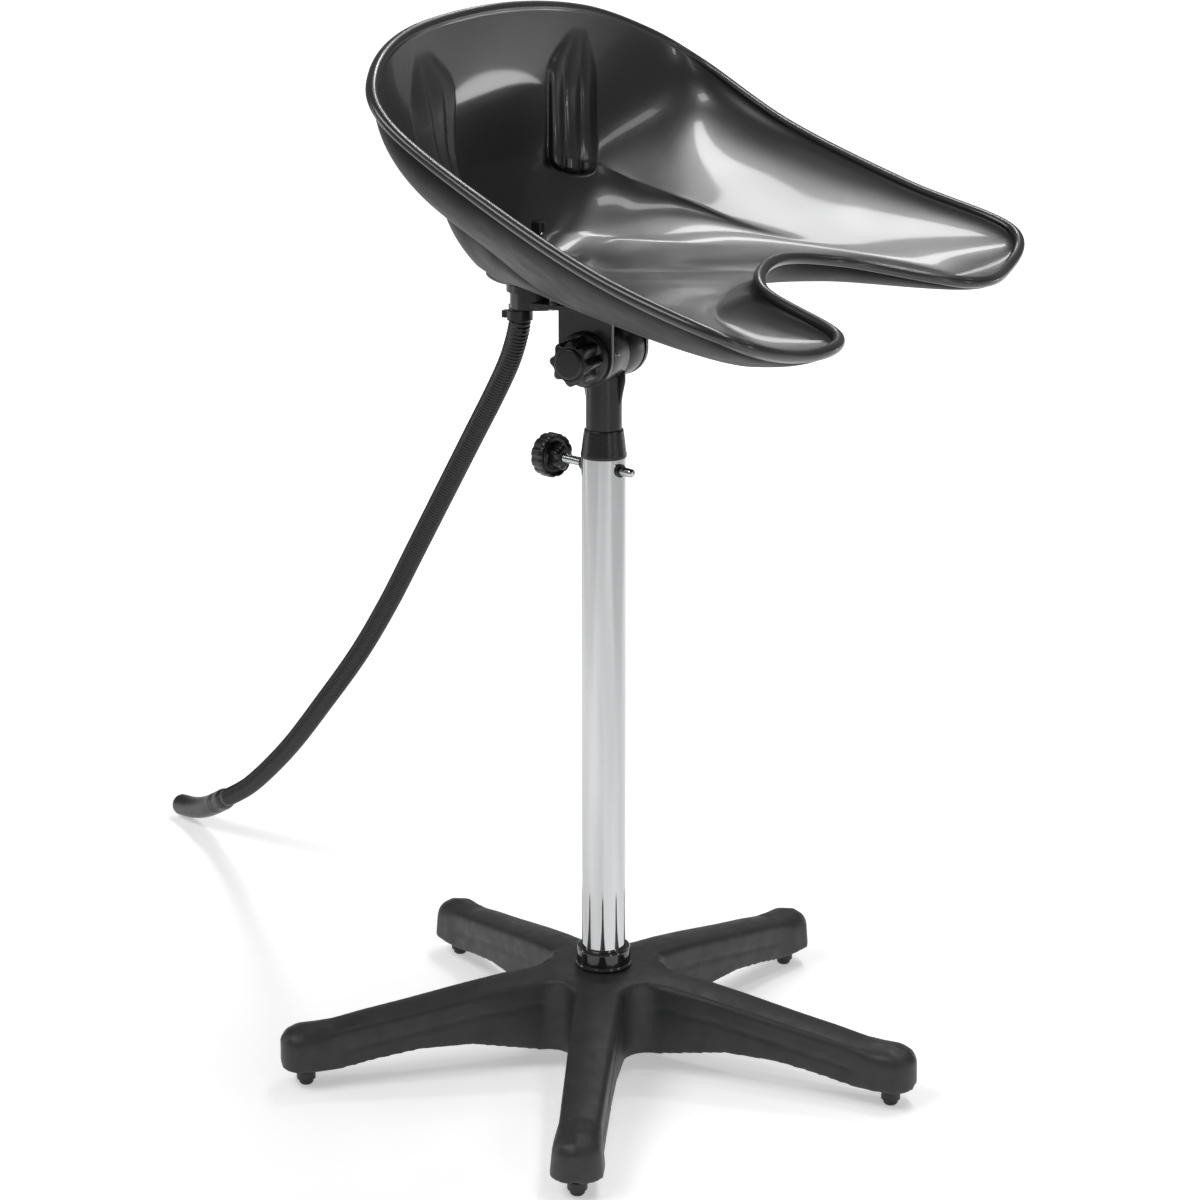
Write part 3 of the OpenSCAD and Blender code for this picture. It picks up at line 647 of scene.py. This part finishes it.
# %% Outline of one arm
STAR_TURN = 4.4
FOOT_AT = 265.0
ARM_TOP = [[30, 84], [44, 84], [90, 78.5], [125, 73], [175, 64], [215, 57.5], [240, 52.6], [252, 53.4],
           [268, 53.2], [280, 50], [286.4, 43]]
ARM_UNDER = [[0, 18], [60, 18], [120, 29], [170, 29], [205, 24], [239, 17.5], [286.4, 18.5]]
ROOT_HALF = 20.5
TIP_HALF = 17.5
TIP_RADIUS = 21.5
WEB_RADIUS = 24.0
WALL = 5.0
DRAFT = 1.6


def arm_half_width(x):
    """Half width at a distance from the axis, with a hollow radius at the hub and a round tip."""
    straight = ROOT_HALF + (TIP_HALF - ROOT_HALF) * np.clip((x - 60) / 170, 0, 1)
    centre = (WEB_RADIUS + ROOT_HALF) / math.sin(math.radians(36))
    reach = centre * math.cos(math.radians(36))
    web = centre * math.sin(math.radians(36))
    web = web - np.sqrt(np.clip(WEB_RADIUS ** 2 - (reach - x) ** 2, 0, None))
    width = np.where(x < reach, np.maximum(straight, web), straight)
    swell = TIP_HALF + (TIP_RADIUS - 1.5 - TIP_HALF) * smooth(x, 236, 258)
    round_end = np.sqrt(np.clip(TIP_RADIUS ** 2 - (x - FOOT_AT) ** 2, 0.6, None))
    width = np.where(x > 232, np.maximum(swell, 0), width)
    return np.where(x > FOOT_AT - 6, np.minimum(width, round_end), width)


def arm_section(x):
    """Rounded channel across the arm: over the top, down the sides and round the hollow underneath."""
    half = float(arm_half_width(np.array([x]))[0])
    top = float(np.interp(x, *np.array(ARM_TOP).T))
    under = float(np.interp(x, *np.array(ARM_UNDER).T))
    corner = min(6.0 + 8.0 * float(smooth(x, 238, 256)), half * 0.75)
    hollow = 0.5 + (top - 7 - under - 0.5) * float(smooth(x, 52, 62) * (1 - smooth(x, 222, 236)))
    inside = max(half - WALL, half * 0.5)
    outline = [(half + DRAFT, under), (half + DRAFT, under + 3)]
    rise = top - corner - under - 3
    outline += [(half + DRAFT * (1 - t), under + 3 + rise * t) for t in (0.2, 0.4, 0.6, 0.8)]
    outline += [(half - corner + corner * math.cos(a), top - corner + corner * math.sin(a))
                for a in np.linspace(0, math.pi / 2, 8)]
    crown = [((half - corner) * t, top + 1.2 * (1 - t * t)) for t in (0.66, 0.33, 0.0)]
    outline += crown
    outline += [(-y, z) for y, z in outline[-2::-1]]
    roof = [(-inside, under), (-inside, under + hollow * 0.5), (-inside + 1, under + hollow)]
    outline += roof + [(0, under + hollow)] + [(-y, z) for y, z in roof[::-1]]
    return [(x, y, z) for y, z in outline]


stations = np.unique(np.r_[np.linspace(8, 60, 22), np.linspace(60, 236, 60), np.linspace(236, 286.2, 44)])
sections = np.array([arm_section(float(x)) for x in stations])
side_count = sections.shape[1]
print("arm:", len(stations), "sections of", side_count, "points")


# %% Panel line along the arm sides
def panel_line(points):
    """Presses a narrow curved groove into both sides of an arm."""
    line_height = np.interp(points[..., 0], [50, 110, 170, 240], [62, 56, 46, 33])
    depth = 1.5 * np.exp(-((points[..., 2] - line_height) / 1.7) ** 2)
    depth *= smooth(points[..., 0], 48, 66) * (1 - smooth(points[..., 0], 226, 244))
    on_side = np.abs(points[..., 1]) > 14
    points[..., 1] -= np.sign(points[..., 1]) * depth * on_side
    return points


def revolved(profile, sides, name, matrix=None, body=None, ripple=None):
    """A turned solid: profile rows are radius and height, closed at the axis on both ends."""
    angle = np.arange(sides) / sides * 2 * math.pi
    rings = []
    for radius, height in profile:
        r = np.full(sides, float(radius))
        if ripple is not None:
            r = r * ripple(angle, radius, height)
        rings.append(np.c_[r * np.cos(angle), r * np.sin(angle), np.full(sides, float(height))])
    points = np.array(rings) * MM
    if matrix is not None:
        turn_by, shift = matrix
        points = points @ np.array(turn_by).T + np.array(shift)
    return object_from(name, points, capped(len(rings), sides), body)


# %% Fuse the arms and the hub
FINE_VOXEL = 1.7
HUB = [(0.5, 16), (35, 16), (37, 19), (38, 40), (38, 78), (36, 83), (33, 85.3), (0.5, 85.3)]
arm_pieces = []
for k in range(5):
    a = math.radians(STAR_TURN + 72 * k)
    spin = np.array([[math.cos(a), -math.sin(a), 0], [math.sin(a), math.cos(a), 0], [0, 0, 1]])
    fine = np.array([sections[:, i] + (sections[:, (i + 1) % side_count] - sections[:, i]) * t
                     for i in range(side_count) for t in (0, 0.34, 0.67)]).transpose(1, 0, 2)
    rings = panel_line(fine.copy()) @ spin.T * MM + AXIS
    arm_pieces.append(object_from(f"arm_blank_{k}", rings, capped(len(stations), fine.shape[1])))
arm_pieces.append(revolved(HUB, 96, "hub_blank", (np.eye(3), AXIS)))

bpy.ops.object.select_all(action="DESELECT")
for piece in arm_pieces:
    piece.select_set(True)
bpy.context.view_layer.objects.active = arm_pieces[0]
bpy.ops.object.join()
star = bpy.context.view_layer.objects.active
star.name = star.data.name = "star_moulding"
remesh = star.modifiers.new("fuse", "REMESH")
remesh.mode = "VOXEL"
remesh.voxel_size = FINE_VOXEL * MM
soften = star.modifiers.new("soften", "SMOOTH")
soften.factor = 0.5
soften.iterations = 6
apply_modifiers(star)
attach(star, "base")
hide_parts("star_base")
dress(NYLON, star)
print("star base", len(star.data.polygons), "faces")

# %% [markdown]
# ## Turned and moulded fittings
# The collar, the column's cap, the hinge drum and the knobs are turned shapes: a profile carried round
# an axis. A real moulding has no sharp edge, so the corners of every profile are rounded by small arcs
# first. The grips of a knob are a ripple of its radius.


# %% Rounded profiles
def rounded(corners, steps=5):
    """Turns corner rows of radius, height and fillet into a profile with arcs."""
    out = []
    for i, (r, h, fillet) in enumerate(corners):
        here = np.array([r, h], float)
        if fillet <= 0 or i in (0, len(corners) - 1):
            out.append(tuple(here))
            continue
        before = unit(np.array(corners[i - 1][:2], float) - here)
        after = unit(np.array(corners[i + 1][:2], float) - here)
        for t in np.linspace(0, 1, steps):
            out.append(tuple(here + fillet * (before * (1 - t) ** 2 + after * t ** 2)))
    return out


UPRIGHT = np.eye(3)


def upright(height=0.0, x=0.0, y=0.0):
    """Places a turned piece upright on the column axis."""
    return UPRIGHT, AXIS + np.array([x, y, height]) * MM


COLLAR = [(19.1, 85.5, 0), (24.5, 85.5, 0.6), (24.5, 88.2, 0.8), (23.6, 89, 0.6), (23.6, 102.2, 1.6),
          (21.8, 104, 1.2), (19.1, 104, 0.2), (19.05, 96, 0), (19.1, 85.6, 0)]
CAP = [(15.4, 517, 0), (17.4, 517, 0.2), (17.4, 542, 0), (19.3, 542, 0.4), (19.4, 545, 0.8),
       (19.0, 546, 0.6), (16.9, 563.5, 0.8), (16.3, 566, 0.7), (15.4, 566, 0.2), (15.25, 540, 0),
       (15.4, 517.1, 0)]

collar = revolved(rounded(COLLAR), 128, "column_collar", upright(), "base")
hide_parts("base_collar")

cap = revolved(rounded(CAP), 128, "column_cap", upright(), "base")
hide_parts("tube_cap")
print("collar and cap turned")

# %% Axes of the two clamping knobs
TO_HINGE = np.array([0.0, 0.0, 631.0])
LOCK_TURN = math.radians(161)
LOCK_HEIGHT = 533.0
lock_way = np.array([math.cos(LOCK_TURN), math.sin(LOCK_TURN), 0.0])
along_lock = (np.column_stack([(0, 0, 1), (lock_way[1], -lock_way[0], 0), lock_way]),
              AXIS + np.array([0, 0, LOCK_HEIGHT]) * MM)


def along_y(start, toward=1):
    """Places a turned piece on the hinge axis, its height running along Y."""
    turn_by = np.array([[1, 0, 0], [0, 0, toward], [0, -toward, 0]], float)
    return turn_by, AXIS + (TO_HINGE + [0, start, 0]) * MM


# %% [markdown]
# The tilt knob is a clamping knob with eight round lobes and a raised face. The lobes fade out where
# the profile turns inward, so that the face stays a plain disc. The lock knob on the column has shallow
# grips round its rim, a dished back and a lobed hub that the rod screws into.

# %% Tilt knob
LOBE_VALLEY = 14.6


def eight_lobes(angle, radius, height):
    """Radius ripple of the tilt knob, only outside the valleys and above the flange."""
    if radius <= LOBE_VALLEY or height < 5.6:
        return 1.0
    lobe = (0.5 + 0.5 * np.cos(8 * angle + 0.35)) ** 0.8
    return (LOBE_VALLEY + (radius - LOBE_VALLEY) * lobe) / radius


TILT_FLANGE = [(5.2, 0, 0), (22.4, 0, 0.4), (22.4, 3.2, 1.2), (20.8, 5.2, 0.8), (20.0, 5.5, 0)]
TILT_FACE = [(19.5, 23, 0), (19.5, 27, 3.0), (14.4, 28.2, 0.8), (13.0, 28.0, 0.4), (12.4, 30.2, 0.6),
             (10.8, 30.9, 0.5), (0.3, 30.9, 0)]
tilt_profile = rounded(TILT_FLANGE) + [(19.5, 5.8)] + [(19.5, h) for h in np.linspace(8, 22, 5)]
tilt_profile += rounded(TILT_FACE)
tilt_knob = revolved(tilt_profile, 192, "tilt_clamp_knob", along_y(-34.2, -1), "tilt_knob", eight_lobes)
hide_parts("tilt_knob")

# %% Lock knob and its threaded rod
def rim_grips(angle, radius, height):
    """Shallow grips on the rim and six lobes on the hub."""
    if radius > 17.2 and height > 56:
        return 1 - 0.055 * np.clip(np.cos(12 * angle) - 0.15, 0, 1) ** 0.8
    if 8.0 < radius < 11.6 and height < 58.5:
        return 1 - 0.16 * (0.5 - 0.5 * np.cos(6 * angle)) ** 1.2
    return 1.0


LOCK_HUB = [(4.0, 47.2, 0), (8.2, 47.2, 0.8), (11.0, 49.2, 1.4), (11.0, 58.6, 0.6), (12.4, 60.4, 0.8),
            (15.2, 60.2, 0.8), (16.6, 57.6, 0.8), (17.8, 57.0, 0.6), (19.0, 58.4, 1.0)]
LOCK_FACE = [(19.0, 68, 0), (19.0, 70.2, 1.6), (16.6, 71.0, 1.0), (12.0, 70.4, 1.0), (0.3, 70.2, 0)]
lock_profile = rounded(LOCK_HUB)[:-1] + [(19.0, h) for h in np.linspace(59.2, 67.6, 5)]
lock_profile += rounded(LOCK_FACE)
lock_knob = revolved(lock_profile, 192, "lock_clamp_knob", along_lock, "lock_knob", rim_grips)
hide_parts("lock_knob")

THREAD_PITCH = 1.25


def thread(angle, radius, height):
    """A helical groove on the part of the rod between the boss and the knob."""
    if not 25.0 < height < 50.0:
        return 1.0
    return 1 - 0.13 * (0.5 - 0.5 * np.cos(2 * math.pi * height / THREAD_PITCH - angle)) ** 0.8


ROD_RADIUS = 3.75
nose = np.linspace(0.08, math.pi / 2, 9)
rod_profile = [(ROD_RADIUS * math.sin(a), -32 - ROD_RADIUS * math.cos(a)) for a in nose]
rod_profile += [(ROD_RADIUS, h) for h in np.linspace(-30, 24.5, 12)]
rod_profile += [(ROD_RADIUS, h) for h in np.arange(25, 50, 0.2)]
rod_profile += [(ROD_RADIUS, 50.2), (ROD_RADIUS, 65)]
lock_rod = revolved(rod_profile, 40, "threaded_lock_rod", along_lock, "base", thread)
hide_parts("lock_rod")
print("knobs and rod made")

# %% Hinge drum with its neck and gussets
DRUM = [(0.3, -28.9, 0), (20, -28.9, 0.3), (24, -28.9, 1.6), (24, -0.5, 0), (23.7, 0, 0), (24, 0.5, 0),
        (24, 28.9, 1.6), (20, 28.9, 0.3), (0.3, 28.9, 0)]
NECK = [(12.6, 573), (12.6, 612)]
GUSSET = [(13.6, 586), (15.6, 587), (17.6, 598), (19.6, 607), (19.6, 616), (13.6, 616)]
GUSSET_WIDTH = 3.2
drum = revolved(rounded(DRUM), 144, "hinge_drum", along_y(0), "post")
neck = revolved(NECK, 96, "hinge_neck", upright(), "post")


def gusset(name, way):
    """A small rib under the drum, against the post."""
    front = np.array([[way * x, -GUSSET_WIDTH / 2, z] for x, z in GUSSET])
    back = front + [0, GUSSET_WIDTH, 0]
    skin = np.array([front, back]) * MM + AXIS
    obj = object_from(name, skin, capped(2, len(GUSSET)), "post", smooth=False)
    edge = obj.modifiers.new("edge", "BEVEL")
    edge.width = 0.5 * MM
    edge.segments = 2
    return apply_modifiers(obj)


gussets = [gusset("drum_gusset_front", 1), gusset("drum_gusset_back", -1)]
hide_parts("post_head")
print("drum ready")


# %% [markdown]
# The bracket is a welded steel part, so its engineering shape is right as it is, apart from its razor
# edges. A copy of it gets a narrow bevel wherever two faces meet at a real corner.

# %% Softened copies of engineering parts
def softened(node, name, body, width):
    """A copy of an engineering part with its corners bevelled."""
    obj = bpy.data.objects.new(name, nodes[node].data.copy())
    bpy.context.scene.collection.objects.link(obj)
    bpy.context.view_layer.objects.active = obj
    bpy.ops.object.select_all(action="DESELECT")
    obj.select_set(True)
    bpy.ops.object.mode_set(mode="EDIT")
    bpy.ops.mesh.select_all(action="SELECT")
    bpy.ops.mesh.customdata_custom_splitnormals_clear()
    bpy.ops.mesh.remove_doubles(threshold=0.00001)
    bpy.ops.mesh.dissolve_limited(angle_limit=math.radians(0.6))
    bpy.ops.object.mode_set(mode="OBJECT")
    bevel = obj.modifiers.new("edge", "BEVEL")
    bevel.width = width
    bevel.segments = 3
    bevel.limit_method = "ANGLE"
    bevel.angle_limit = math.radians(40)
    bevel.harden_normals = True
    obj.data.polygons.foreach_set("use_smooth", [True] * len(obj.data.polygons))
    apply_modifiers(obj)
    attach(obj, body)
    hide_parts(node)
    return obj


bracket = softened("bowl_bracket", "bowl_mount", "bowl", 0.8 * MM)
dress(SHINY, collar)
dress(SATIN, cap, tilt_knob, lock_knob, drum, neck, *gussets)
dress(CHROME, lock_rod)
dress(ENAMEL, bracket)
print("fittings dressed")
